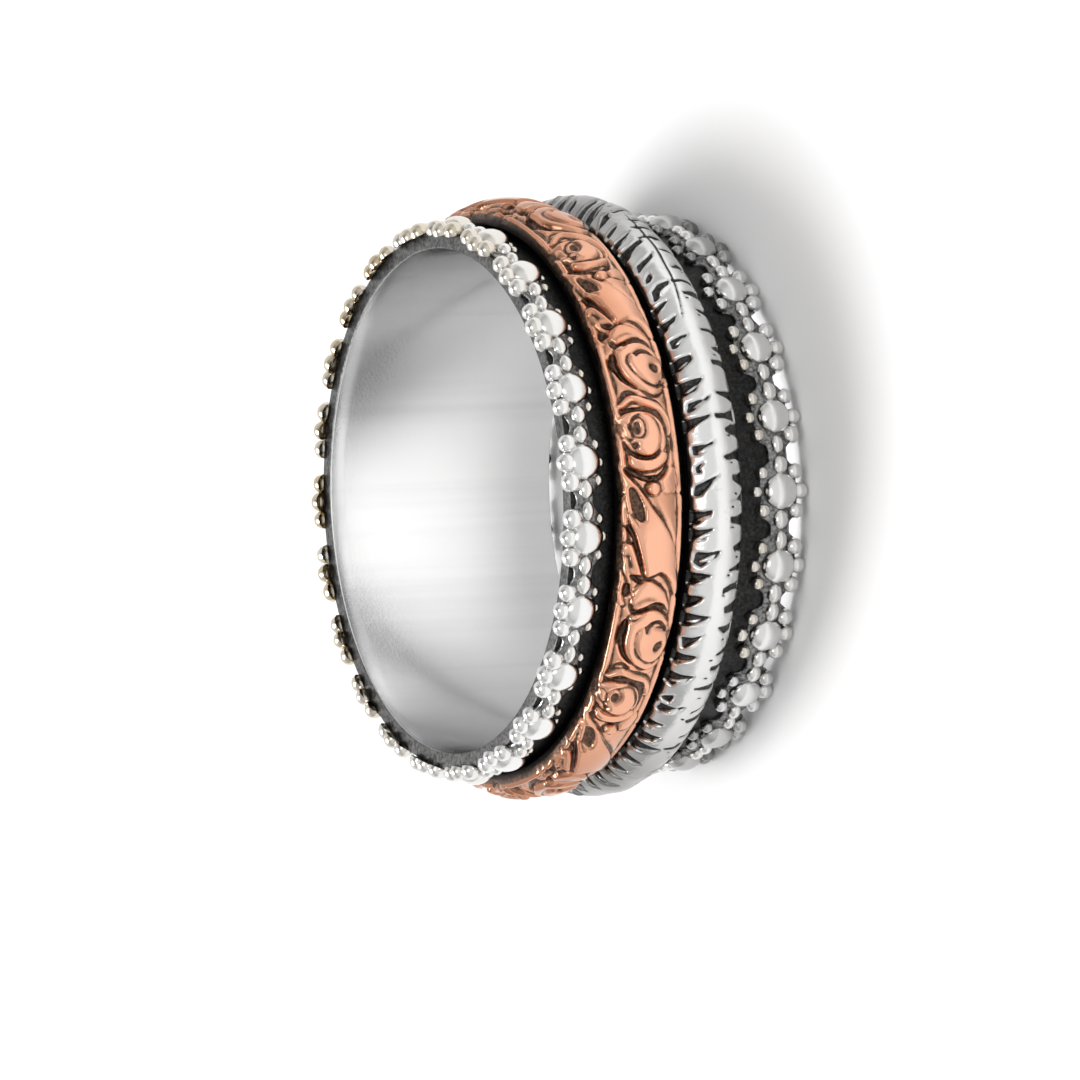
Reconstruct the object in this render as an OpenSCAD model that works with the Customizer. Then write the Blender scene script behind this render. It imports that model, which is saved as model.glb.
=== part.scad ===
// Spinner ring: a finger sleeve with granulated edges that carries two loose bands.
// All lengths are in millimetres. The ring lies on its side, so the finger goes along Z.

/* [Finger sleeve] */
// Diameter of the finger hole
finger_d = 18.2; // [15.4:0.2:22.2]
// Wall of the sleeve
sleeve_wall = 0.6; // [0.5:0.05:0.9]
// Length of the sleeve along the finger
sleeve_w = 9.05; // [8.8:0.05:12]
// Bevel round each mouth of the finger hole
mouth_bevel = 0.12; // [0.05:0.01:0.2]

/* [Granulated edges] */
// Distance from one rosette to the next, to the nearest whole count
rosette_pitch = 2.7; // [2.5:0.05:3.2]
// Distance from the sleeve's end to the middle of the rosettes
edge_inset = 0.55; // [0.45:0.05:0.75]
// Height of the rosettes' plates over the sleeve
plate_h = 0.18; // [0.12:0.01:0.3]
// Depth to which a plate is let into the sleeve and past its end
plate_root = 0.27; // [0.2:0.01:0.4]
// Diameter of a big granule
big_d = 1.12; // [1.0:0.02:1.12]
// Height of a big granule over its plate
big_h = 0.38; // [0.3:0.01:0.5]
// Diameter of a small granule
small_d = 0.44; // [0.36:0.02:0.46]
// Gap between the feet of the big granule and of the small ones
granule_gap = 0.02; // [0.01:0.01:0.08]
// Rim of the plate outside the small granules
plate_rim = 0.03; // [0.02:0.01:0.08]
// Angle between neighbouring small granules, seen from the middle of the rosette
small_spread = 48; // [40:1:55]
// Width of the link between two rosettes
link_w = 0.9; // [0.6:0.05:1.1]
// Drop of the link's top below the plates
link_drop = 0.04; // [0.02:0.01:0.08]
// Diameter of a link bead
link_bead_d = 0.32; // [0.24:0.02:0.4]
// Turn of the upper edge's rosettes
upper_turn = 11.7; // [0:0.1:20]
// Turn of the lower edge's rosettes
lower_turn = 4.1; // [0:0.1:20]

/* [Rose band] */
// Width of the rose band
rose_w = 2.48; // [2.2:0.02:2.8]
// Wall of the rose band at its edges
rose_wall = 0.3; // [0.25:0.05:0.5]
// Rise of the rose band's rounded back over its edges
rose_crown = 0.52; // [0.3:0.02:0.6]
// Height of the raised roses and leaves over the back
relief_h = 0.18; // [0.1:0.01:0.25]
// Length of one repeat of two roses and a leaf spray, to the nearest whole count
rose_repeat = 9.7; // [9:0.1:12]
// Radius of a rose
rose_r = 0.95; // [0.8:0.05:1]
// Length of the long leaf
leaf_l = 4.2; // [3:0.1:4.4]
// Width of the long leaf
leaf_w = 0.8; // [0.5:0.05:0.9]
// Turn of the rose band
rose_turn = -64.3; // [-180:0.1:180]

/* [Hatched band] */
// Width of the hatched band
hatch_w = 2.1; // [1.6:0.05:2.3]
// Wall of the hatched band at its edges
hatch_wall = 0.32; // [0.3:0.02:0.5]
// Rise of the hatched band's rounded back over its edges
hatch_crown = 0.68; // [0.4:0.02:0.7]
// Distance from one notch to the next, to the nearest whole count
notch_pitch = 0.815; // [0.7:0.005:1.2]
// Width of a notch at the band's edge
notch_w = 0.2; // [0.1:0.01:0.24]
// Depth of a notch at the band's edge
notch_d = 0.12; // [0.06:0.01:0.2]
// Length of the notches from the upper edge
upper_notch_l = 0.95; // [0.5:0.05:1]
// Length of the notches from the lower edge
lower_notch_l = 0.65; // [0.4:0.05:0.9]
// Slant of the notches
notch_slant = 9; // [0:1:20]

/* [Running gaps] */
// Gap between the sleeve and the bands that turn on it
turn_gap = 0.2; // [0.1:0.01:0.3]
// Gap between the upper edge's rosettes and the rose band
upper_gap = 0.07; // [0.05:0.01:0.2]
// Gap between the two bands
band_gap = 0.4; // [0.1:0.05:0.6]

/* [Hidden] */
$fn = 96;
bead_fn = 32;
overlap = 0.05;

bore_r = finger_d / 2;
sleeve_r = bore_r + sleeve_wall;
plate_r = sleeve_r + plate_h;
big_foot_r = sqrt(big_h * (big_d - big_h));
small_reach = big_foot_r + granule_gap + small_d / 2;
rosette_r = small_reach + small_d / 2 + plate_rim;
rosettes = round(2 * PI * plate_r / rosette_pitch);
rosette_step = 360 / rosettes;
link_l = 2 * plate_r * tan(rosette_step / 2) - 2 * rosette_r;
link_beads = floor(link_l / link_bead_d);

sleeve_z = rosette_r - edge_inset;
lower_z = sleeve_z + edge_inset;
upper_z = sleeve_z + sleeve_w - edge_inset;

spin_r = sleeve_r + turn_gap;
rose_z = upper_z - rosette_r - upper_gap - rose_w;
rose_edge_r = spin_r + rose_wall;
rose_repeats = round(2 * PI * (rose_edge_r + rose_crown) / rose_repeat);
rose_step = 360 / rose_repeats;
hatch_z = rose_z - band_gap - hatch_w;
hatch_edge_r = spin_r + hatch_wall;
notches = round(2 * PI * (hatch_edge_r + hatch_crown) / notch_pitch);
notch_step = 360 / notches;

// Puts a shape on the ring's outside: Z points outwards, X down and Y round the ring
module outward(angle, r) {
  rotate([0, 0, angle])
    translate([r, 0, 0])
      rotate([0, 90, 0])
        children();
}

// A piece of a ball of diameter d that stands h above the plane z = 0
module granule(d, h) {
  rotate_extrude($fn = bead_fn)
    intersection() {
      translate([0, h - d / 2])
        circle(d = d, $fn = bead_fn);
      translate([0, -overlap])
        square([d, h + 2 * overlap]);
    }
}

// A ring with a flat inside and a rounded back, from z = 0 up to the width w
module domed_ring(w, edge_r, rise) {
  back_r = (w * w / 4 + rise * rise) / (2 * rise);
  translate([0, 0, w / 2])
    rotate_extrude()
      intersection() {
        translate([edge_r + rise - back_r, 0])
          circle(r = back_r);
        translate([spin_r, -w / 2])
          square([edge_r + rise - spin_r + overlap, w]);
      }
}

module sleeve() {
  translate([0, 0, sleeve_z])
    rotate_extrude()
      polygon([
        [bore_r, mouth_bevel],
        [bore_r + mouth_bevel, 0],
        [sleeve_r, 0],
        [sleeve_r, sleeve_w],
        [bore_r + mouth_bevel, sleeve_w],
        [bore_r, sleeve_w - mouth_bevel]
      ]);
}

// One big granule between two arcs of small ones, on a round plate
module rosette() {
  depth = plate_h + plate_root;
  translate([0, 0, -depth])
    cylinder(r = rosette_r, h = depth);
  granule(big_d, big_h);
  for (side = [0, 180], spread = [-1, 0, 1])
    rotate([0, 0, side + spread * small_spread])
      translate([small_reach, 0, 0])
        granule(small_d, small_d / 2);
}

// The beaded bridge between two rosettes
module link() {
  depth = plate_h + plate_root - link_drop;
  bridge_l = link_l + 0.24 * rosette_r;
  translate([-link_w / 2, -bridge_l / 2, -depth])
    cube([link_w, bridge_l, depth]);
  for (k = [0.5 : link_beads])
    translate([0, (k / link_beads - 0.5) * link_l, 0])
      granule(link_bead_d, link_bead_d / 2);
}

module granulated_edge(turn) {
  for (i = [0 : rosettes - 1]) {
    outward(turn + i * rosette_step, plate_r)
      rosette();
    outward(turn + (i + 0.5) * rosette_step, plate_r - link_drop)
      link();
  }
}

module core_band() {
  color("silver") {
    sleeve();
    translate([0, 0, lower_z])
      granulated_edge(lower_turn);
    translate([0, 0, upper_z])
      granulated_edge(upper_turn);
  }
}

// A ring of petals: an annulus cut across by slanted gaps
module petals(outer, inner, count, turn) {
  gap = 0.09 * rose_r;
  difference() {
    circle(r = outer);
    circle(r = inner);
    for (k = [0 : count - 1])
      rotate(turn + k * 360 / count)
        translate([inner, 0])
          rotate(40)
            translate([-inner / 2, -gap / 2])
              square([2 * outer, gap]);
  }
}

// An open rose seen from above, with an eye a little off its middle
module rose() {
  petals(rose_r, 0.74 * rose_r, 3, 20);
  petals(0.64 * rose_r, 0.42 * rose_r, 2, 100);
  difference() {
    circle(r = 0.33 * rose_r);
    translate([-0.1 * rose_r, 0.05 * rose_r])
      circle(r = 0.1 * rose_r);
  }
}

// A pointed leaf of length l and width w along Y
module leaf(l, w) {
  arc_r = (l * l + w * w) / (4 * w);
  intersection() {
    translate([arc_r - w / 2, 0])
      circle(r = arc_r);
    translate([w / 2 - arc_r, 0])
      circle(r = arc_r);
  }
}

// The long leaf with a short one on each side
module leaf_spray() {
  rotate(24)
    leaf(leaf_l, leaf_w);
  translate([-0.3 * rose_w, -0.25 * leaf_l])
    rotate(30)
      leaf(0.3 * leaf_l, 0.45 * leaf_w);
  translate([0.3 * rose_w, 0.2 * leaf_l])
    rotate(30)
      leaf(0.3 * leaf_l, 0.5 * leaf_w);
}

module raise_motif(angle, x) {
  root = rose_edge_r - rose_wall / 2;
  outward(angle, root)
    translate([x, 0, 0])
      linear_extrude(rose_crown + relief_h + rose_wall)
        children();
}

module rose_spinner() {
  color("rosybrown")
    translate([0, 0, rose_z]) {
      domed_ring(rose_w, rose_edge_r, rose_crown);
      intersection() {
        domed_ring(rose_w, rose_edge_r, rose_crown + relief_h);
        translate([0, 0, rose_w / 2])
          for (i = [0 : rose_repeats - 1]) {
            start = rose_turn - i * rose_step;
            raise_motif(start, 0.07 * rose_w)
              rose();
            raise_motif(start - 0.275 * rose_step, -0.1 * rose_w)
              rose();
            raise_motif(start - 0.64 * rose_step, 0)
              leaf_spray();
          }
      }
    }
}

// Distance from the ring's axis to a rounded back, x in from the band's edge
function back(x, w, edge_r, rise) =
  let (back_r = (w * w / 4 + rise * rise) / (2 * rise))
  edge_r + rise - back_r + sqrt(back_r * back_r - pow(w / 2 - x, 2));

// A V-shaped cut from the edge at the origin along X, which runs out on the back after l
module notch(l) {
  climb = back(l, hatch_w, hatch_edge_r, hatch_crown) - hatch_edge_r + notch_d;
  reach = norm([l, climb]);
  open_h = 3 * notch_d;
  open_w = 3 * notch_w;
  translate([0, 0, -notch_d])
    rotate([0, -atan2(climb, l), 0])
      translate([-reach, 0, 0])
        rotate([90, 0, 90])
          linear_extrude(2 * reach)
            polygon([[0, 0], [open_w / 2, open_h], [-open_w / 2, open_h]]);
}

// Notches round one edge, uneven as if cut by hand
module notched_edge(l) {
  for (i = [0 : notches - 1])
    outward(i * notch_step, hatch_edge_r)
      translate([-hatch_w / 2, 0, 0])
        rotate([0, 0, notch_slant * (1 + 0.5 * sin(137 * i))])
          notch(l * (0.85 + 0.15 * sin(97 * i)));
}

module hatched_spinner() {
  color("gainsboro")
    translate([0, 0, hatch_z])
      difference() {
        domed_ring(hatch_w, hatch_edge_r, hatch_crown);
        translate([0, 0, hatch_w / 2]) {
          notched_edge(upper_notch_l);
          rotate([180, 0, notch_step / 3])
            notched_edge(lower_notch_l);
        }
      }
}

core_band();
rose_spinner();
hatched_spinner();
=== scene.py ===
import math

import bpy
import numpy as np
from mathutils import Matrix, Vector


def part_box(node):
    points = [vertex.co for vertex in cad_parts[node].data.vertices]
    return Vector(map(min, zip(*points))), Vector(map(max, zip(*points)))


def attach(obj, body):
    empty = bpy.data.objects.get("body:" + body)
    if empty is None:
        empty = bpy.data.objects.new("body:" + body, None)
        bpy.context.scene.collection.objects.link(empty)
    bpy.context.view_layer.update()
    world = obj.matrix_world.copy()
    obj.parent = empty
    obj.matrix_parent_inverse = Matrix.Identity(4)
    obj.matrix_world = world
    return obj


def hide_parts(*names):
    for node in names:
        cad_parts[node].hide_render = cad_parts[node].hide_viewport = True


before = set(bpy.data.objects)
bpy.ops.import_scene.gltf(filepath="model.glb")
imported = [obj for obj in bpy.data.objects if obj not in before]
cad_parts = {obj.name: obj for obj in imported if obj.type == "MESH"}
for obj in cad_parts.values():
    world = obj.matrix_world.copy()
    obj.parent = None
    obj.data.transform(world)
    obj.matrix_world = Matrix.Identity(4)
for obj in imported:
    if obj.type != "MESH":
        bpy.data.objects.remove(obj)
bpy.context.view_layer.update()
mm = 0.001
rng = np.random.default_rng(41)
print("frame loaded")


# A socket with operators, so that shader maths reads as plain expressions
class Wire:
    def __init__(self, graph, socket):
        self.graph = graph
        self.socket = socket

    def out(self, name):
        return Wire(self.graph, self.socket.node.outputs[name])

    def run(self, operation, *values, clamp=False):
        return self.graph.add("ShaderNodeMath", {"operation": operation, "use_clamp": clamp},
                              dict(enumerate(values)))

    def __add__(self, other):
        return self.run("ADD", self, other)

    def __radd__(self, other):
        return self.run("ADD", other, self)

    def __sub__(self, other):
        return self.run("SUBTRACT", self, other)

    def __rsub__(self, other):
        return self.run("SUBTRACT", other, self)

    def __mul__(self, other):
        return self.run("MULTIPLY", self, other)

    def __rmul__(self, other):
        return self.run("MULTIPLY", other, self)

    def __truediv__(self, other):
        return self.run("DIVIDE", self, other)

    def __rtruediv__(self, other):
        return self.run("DIVIDE", other, self)

    def clamped(self):
        return self.run("ADD", self, 0.0, clamp=True)


# A node tree that takes a node's type, its settings and its sockets in one call
class Graph:
    def __init__(self, tree):
        self.tree = tree

    def add(self, kind, settings=None, sockets=None, take=0):
        node = self.tree.nodes.new(kind)
        for name, value in (settings or {}).items():
            setattr(node, name, value)
        for key, value in (sockets or {}).items():
            if isinstance(value, Wire):
                self.tree.links.new(value.socket, node.inputs[key])
            else:
                node.inputs[key].default_value = value
        return Wire(self, node.outputs[take] if len(node.outputs) else None)


def mixColours(graph, share, first, second):
    return graph.add("ShaderNodeMix", {"data_type": "RGBA"}, {0: share, 6: first, 7: second}, take=2)


def noiseOn(graph, place, scale, detail, rough=0.5):
    return graph.add("ShaderNodeTexNoise", {}, {
        "Vector": place, "Scale": scale, "Detail": detail, "Roughness": rough})


def bumpOn(graph, height, distance, strength=1.0, under=None):
    sockets = {"Strength": strength, "Distance": distance, "Height": height}
    if under is not None:
        sockets["Normal"] = under
    return graph.add("ShaderNodeBump", {}, sockets)


# Metal that is bright where it was polished and keeps its dark patina where the recess attribute says
def patinatedMetal(name, look):
    material = bpy.data.materials.new(name)
    material.use_nodes = True
    material.node_tree.nodes.clear()
    graph = Graph(material.node_tree)
    place = graph.add("ShaderNodeTexCoord", take="Object")
    recess = graph.add("ShaderNodeAttribute", {"attribute_name": "recess"}, take="Fac")
    mottle = noiseOn(graph, place, look["mottleScale"], 4.0, 0.6)
    cloud = noiseOn(graph, place, look["cloudScale"], 2.0)
    fine = noiseOn(graph, place, look["grainScale"], 2.0)
    edge = recess + (mottle - 0.5) * look["mottle"] - look["patinaStart"]
    patina = (edge / look["patinaSoft"]).clamped()
    dust = ((cloud - look["cloudFrom"]) * look["cloudGain"]).clamped() * look["cloud"]
    polished = mixColours(graph, dust, look["colour"], look["cloudColour"])
    if look["streaks"]:
        brushed = graph.add("ShaderNodeVectorMath", {"operation": "MULTIPLY"},
                            {0: place, 1: (1.0, 1.0, look["streakStretch"])})
        lines = noiseOn(graph, brushed, look["streakScale"], 4.0, 0.65)
        share = ((lines - 0.5) * 5.0).clamped() * look["streaks"]
        polished = mixColours(graph, share, polished, look["streakColour"])
    # above zero yellow tarnish on the granules and painted shade on the bands and the bore; below zero
    # painted shade in dull grey
    tarnishAndShade = graph.add("ShaderNodeAttribute", {"attribute_name": "tarnishAndShade"}, take="Fac")
    polished = mixColours(graph, tarnishAndShade.clamped(), polished, look["tarnishAndShadeColour"])
    polished = mixColours(graph, (tarnishAndShade * -1.0).clamped(), polished, look["paintedDimColour"])
    # painted shade beside the recesses
    shade = (recess * look["shadeGain"] + (mottle - 0.5) * look["shadeMottle"] - look["shadeFrom"]).clamped()
    shade = shade * look["shade"]
    polished = mixColours(graph, shade, polished, look["shadeColour"])
    speckle = (fine - 0.5) * look["speckleFine"] + (mottle - 0.5) * look["speckleMottle"]
    speckle = (speckle + look["speckleBase"]).clamped()
    tint = mixColours(graph, speckle, look["patinaColour"], look["patinaLight"])
    # past full patina, near-black painted shade in the gaps between parts and on hidden faces
    gapShade = (recess + (mottle - 0.5) * look["gapShadeMottle"] - 1.0).clamped()
    colour = mixColours(graph, gapShade, mixColours(graph, patina, polished, tint), look["gapShadeColour"])
    rough = look["rough"] + patina * (look["patinaRough"] - look["rough"])
    rough = rough + (fine - 0.5) * look["roughGrain"] - tarnishAndShade * look["tarnishAndShadeRough"]
    pits = bumpOn(graph, fine, look["grainDepth"], 0.6)
    waves = bumpOn(graph, cloud * 0.6 + mottle * 0.4, look["waveDepth"], 0.7, pits)
    shader = graph.add("ShaderNodeBsdfPrincipled", {}, {
        "Base Color": colour, "Roughness": rough.clamped(), "Metallic": 1.0, "Normal": waves})
    graph.add("ShaderNodeOutputMaterial", {}, {"Surface": shader})
    return material


silverLook = {
    "colour": (0.8, 0.8, 0.795, 1), "rough": 0.21, "roughGrain": 0.06,
    "cloudColour": (0.72, 0.715, 0.7, 1), "cloud": 0.5, "cloudFrom": 0.52, "cloudGain": 6.0,
    "shadeColour": (0.4, 0.4, 0.395, 1), "shade": 0.5,    # painted shade beside the recesses
    "shadeGain": 1.5, "shadeMottle": 0.7, "shadeFrom": 0.08,
    "patinaColour": (0.07, 0.071, 0.071, 1), "patinaLight": (0.38, 0.38, 0.375, 1), "patinaRough": 0.4,
    "patinaStart": 0.4, "patinaSoft": 0.22, "mottle": 0.45,
    "speckleFine": 2.4, "speckleMottle": 1.2, "speckleBase": 0.45,
    # near-black painted shade in gaps and on hidden faces, where the recess attribute passes 1
    "gapShadeColour": (0.012, 0.012, 0.012, 1), "gapShadeMottle": 0.5,
    # the tarnish-and-shade attribute brings in the first colour above zero: yellow tarnish on the granules,
    # painted shade on the bands and the bore; and the second one, painted shade in dull grey, below it
    "tarnishAndShadeColour": (0.6, 0.49, 0.32, 1), "paintedDimColour": (0.09, 0.088, 0.085, 1), "tarnishAndShadeRough": 0.0,
    "streaks": 0.0, "mottleScale": 2600.0, "cloudScale": 420.0, "grainScale": 9000.0,
    "grainDepth": 0.000004, "waveDepth": 0.00003,
}
roseGoldLook = dict(
    silverLook, colour=(0.87, 0.46, 0.305, 1), rough=0.19,
    cloudColour=(0.66, 0.3, 0.175, 1), cloud=0.8, cloudScale=330.0,
    shadeColour=(0.5, 0.25, 0.15, 1), shade=0.75,
    patinaColour=(0.045, 0.027, 0.02, 1), patinaLight=(0.2, 0.12, 0.085, 1), patinaRough=0.42,
    patinaStart=0.38, patinaSoft=0.3, mottle=0.5, gapShadeColour=(0.012, 0.008, 0.006, 1),
    tarnishAndShadeColour=(0.45, 0.2, 0.115, 1), tarnishAndShadeRough=0.1)
hatchedLook = dict(
    silverLook, rough=0.24, patinaColour=(0.025, 0.025, 0.026, 1), patinaLight=(0.085, 0.085, 0.084, 1),
    patinaStart=0.42, mottle=0.5, tarnishAndShadeColour=(0.27, 0.265, 0.255, 1), waveDepth=0.00006)
boreLook = dict(
    silverLook, colour=(0.93, 0.93, 0.93, 1), rough=0.16, cloudColour=(0.9, 0.9, 0.895, 1), cloudScale=160.0,
    patinaColour=(0.05, 0.05, 0.05, 1), patinaLight=(0.24, 0.24, 0.237, 1), mottle=0.3,
    tarnishAndShadeColour=(0.46, 0.46, 0.465, 1), waveDepth=0.000004,
    streaks=0.5, streakColour=(0.74, 0.74, 0.745, 1), streakScale=420.0, streakStretch=0.025)

silverMetal = patinatedMetal("patinated_silver", silverLook)
boreMetal = patinatedMetal("polished_silver", boreLook)
roseGoldMetal = patinatedMetal("patinated_rose_gold", roseGoldLook)
hatchedMetal = patinatedMetal("patinated_hatched_silver", hatchedLook)
print("metals ready")

studio = {
    "axisTurn": 62.21, "axisLean": 2.37,    # degrees from the view to the finger axis, and its lean
    "mouthPlace": (-3.45, -1.40, 400.0),    # mm, the hole's upper mouth seen from the camera
    "pixelsPerMm": 27.74, "imageSide": 1080, "sensor": 36.0, "nearClip": 0.01, "farClip": 20,
    "floorSize": 4.0, "floorColour": (0.91, 0.91, 0.91, 1),
    "floorRough": 0.62, "floorRoughSpread": 0.06, "floorHaze": 30.0,
    "zenith": 0.28, "horizon": 0.5,         # light of the sky overhead and at its sides
    "front": 0.36, "back": 0.42,            # what it gains towards the camera's side and away from it
    "sideGain": 1.6,                        # how soon it gains that
    "darkFrom": 0.76, "darkTo": 0.94,       # height of the direction where the sky darkens
    # soft round lights in the sky: turn from the camera's side, height, half width and soft edge in
    # degrees, then power
    "softLights": ((210, 58, 8, 10, 12.5), (0, 64, 8, 12, 2.2)),
}


# The camera of the photograph, turned into the frame of a ring that lies on its side
def placeCamera():
    turn, lean = math.radians(studio["axisTurn"]), math.radians(studio["axisLean"])
    along = Vector((math.sin(turn) * math.cos(lean), -math.sin(turn) * math.sin(lean), math.cos(turn)))
    near = Vector((0, 1, 0)).cross(along).normalized()
    down = along.cross(near)
    toModel = Matrix((-down, -near, -along))      # camera right, down, forward to the ring's X, Y, Z
    right, below, forward = (toModel.col[k] for k in range(3))
    mouth = Vector((0, 0, sleeve["high"]))
    x, y, z = studio["mouthPlace"]
    spot = (mouth - x * right - y * below - z * forward) * mm
    camera = bpy.data.objects.new("photo_camera", bpy.data.cameras.new("photo_camera"))
    bpy.context.scene.collection.objects.link(camera)
    turned = Matrix((right, -below, -forward)).transposed()
    camera.matrix_world = Matrix.Translation(spot) @ turned.to_4x4()
    camera.data.sensor_width = studio["sensor"]
    camera.data.lens = studio["pixelsPerMm"] * z / studio["imageSide"] * studio["sensor"]
    camera.data.clip_start, camera.data.clip_end = studio["nearClip"], studio["farClip"]
    bpy.context.scene.camera = camera


def buildStudio():
    world = bpy.data.worlds.new("studio")
    bpy.context.scene.world = world
    world.use_nodes = True
    world.node_tree.nodes.clear()
    graph = Graph(world.node_tree)
    direction = graph.add("ShaderNodeTexCoord", take="Generated")
    forward = graph.add("ShaderNodeSeparateXYZ", {}, {0: direction}, take="Y") * -1.0
    height = graph.add("ShaderNodeSeparateXYZ", {}, {0: direction}, take="Z")
    low = 1 - ((height - studio["darkFrom"]) / (studio["darkTo"] - studio["darkFrom"])).clamped()
    gain = studio["sideGain"]
    ahead, behind = (forward * gain).clamped(), (forward * -gain).clamped()
    low = low * (ahead * studio["front"] + behind * studio["back"] + (studio["horizon"] - studio["zenith"]))
    light = low + studio["zenith"]
    for turn, climb, halfWidth, softEdge, power in studio["softLights"]:
        turn, climb = math.radians(turn), math.radians(climb)
        axis = (math.sin(turn) * math.cos(climb), -math.cos(turn) * math.cos(climb), math.sin(climb))
        facing = graph.add("ShaderNodeVectorMath", {"operation": "DOT_PRODUCT"},
                           {0: direction, 1: axis}, take="Value")
        away = facing.run("ARCCOSINE", facing)
        spot = ((math.radians(halfWidth + softEdge) - away) / math.radians(softEdge)).clamped()
        light = spot * power + light
    glow = graph.add("ShaderNodeBackground", {}, {"Color": (1, 1, 1, 1), "Strength": light})
    graph.add("ShaderNodeOutputWorld", {}, {"Surface": glow})

    half = studio["floorSize"] / 2
    mesh = bpy.data.meshes.new("floor")
    corners = [(x * half, y * half, 0) for x, y in ((-1, -1), (1, -1), (1, 1), (-1, 1))]
    mesh.from_pydata(corners, [], [(0, 1, 2, 3)])
    floor = bpy.data.objects.new("floor", mesh)
    bpy.context.scene.collection.objects.link(floor)
    material = bpy.data.materials.new("pale_floor")
    material.use_nodes = True
    material.node_tree.nodes.clear()
    graph = Graph(material.node_tree)
    place = graph.add("ShaderNodeTexCoord", take="Object")
    haze = noiseOn(graph, place, studio["floorHaze"], 2.0, 0.55)
    rough = studio["floorRough"] + (haze - 0.5) * studio["floorRoughSpread"]
    shader = graph.add("ShaderNodeBsdfPrincipled", {}, {
        "Base Color": studio["floorColour"], "Roughness": rough, "IOR": 1.2})
    graph.add("ShaderNodeOutputMaterial", {}, {"Surface": shader})
    mesh.materials.append(material)


def smooth(value, low, high):
    share = np.clip((value - low) / (high - low), 0, 1)
    return share * share * (3 - 2 * share)


# A closed shell round the Z axis: section rows go up outside, in over the top and down inside, all in mm
def ringShell(name, radius, height, angle, recess, material, tarnishAndShade=0.0):
    rows, columns = radius.shape
    points = np.stack([radius * np.cos(angle), radius * np.sin(angle), height + 0 * radius], -1) * mm
    index = np.arange(rows * columns).reshape(rows, columns)
    above = np.roll(index, -1, 0)
    faces = np.stack([index, np.roll(index, -1, 1), np.roll(above, -1, 1), above], -1).reshape(-1, 4)
    mesh = bpy.data.meshes.new(name)
    mesh.from_pydata(points.reshape(-1, 3).tolist(), [], faces.tolist())
    mesh.shade_smooth()
    for label, values in (("recess", recess), ("tarnishAndShade", tarnishAndShade)):
        mark = mesh.attributes.new(label, "FLOAT", "POINT")
        mark.data.foreach_set("value", np.broadcast_to(values, radius.shape).astype(np.float32).ravel())
    mesh.materials.append(material)
    shell = bpy.data.objects.new(name, mesh)
    bpy.context.scene.collection.objects.link(shell)
    return shell


sleeve = {
    "bore": 9.1, "outside": 9.7, "low": 0.4, "outerLow": 0.74, "high": 9.5203,
    "bevel": 0.06, "flat": 0.024, "corner": 0.05, "columns": 384, "boreRows": 16, "outsideRows": 10,
    # patina of the rim and of the outside, past 1 deepened into near-black painted shade, and where it
    # begins and is full in shares of the bevel
    "rimDark": 1.3, "outsideDark": 1.85, "rimFrom": 0.1, "rimFull": 0.7,
    # painted shade in grey on the bore towards the picture's top and bottom, the sine of the turn from the X
    # axis where it begins, and how much lower it is full
    "tarnishAndShadeShare": 0.8, "paintedShadeFrom": 0.8, "paintedShadeSoft": 0.6,
}


# Points of a quarter circle round a corner's middle, from a direction in degrees onwards
def quarter(middle, radius, start):
    turns = np.radians(start + np.linspace(0, 90, 4))
    return [(middle[0] + radius * math.cos(a), middle[1] + radius * math.sin(a)) for a in turns]


def buildSleeve():
    low, high = sleeve["low"], sleeve["high"]
    inner, outer, bevel, corner = (sleeve[k] for k in ("bore", "outside", "bevel", "corner"))
    outside = np.linspace(sleeve["outerLow"] + corner, high - corner, sleeve["outsideRows"])
    section = [(outer, z) for z in outside]
    section += quarter((outer - corner, high - corner), corner, 0)[1:]
    section += [(inner + bevel + sleeve["flat"], high)]
    section += quarter((inner + bevel, high - bevel), bevel, 90)
    section += [(inner, z) for z in np.linspace(high - bevel, low + bevel, sleeve["boreRows"])[1:-1]]
    section += quarter((inner + bevel, low + bevel), bevel, 180)
    section += [(inner + bevel + sleeve["flat"], low)]
    section += quarter((outer - corner, sleeve["outerLow"] + corner), corner, 270)[:-1]
    section = np.array(section)
    angle = np.linspace(0, 2 * math.pi, sleeve["columns"], endpoint=False)[None, :]
    radius = section[:, :1] + 0 * angle
    height = section[:, 1:] + 0 * angle
    # past 1 the patina turns into near-black painted shade on the rim and outside
    dark = np.where(radius > outer - 0.01, sleeve["outsideDark"], sleeve["rimDark"])
    recess = dark * smooth(radius, inner + bevel * sleeve["rimFrom"], inner + bevel * sleeve["rimFull"])
    # painted shade in grey on the bore, darker towards the picture's top and bottom
    tarnishAndShadeShare = sleeve["tarnishAndShadeShare"] * smooth(sleeve["paintedShadeFrom"] - np.abs(np.sin(angle)), 0, sleeve["paintedShadeSoft"])
    return ringShell("sleeve", radius, height, angle, recess, boreMetal, tarnishAndShadeShare)


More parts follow.
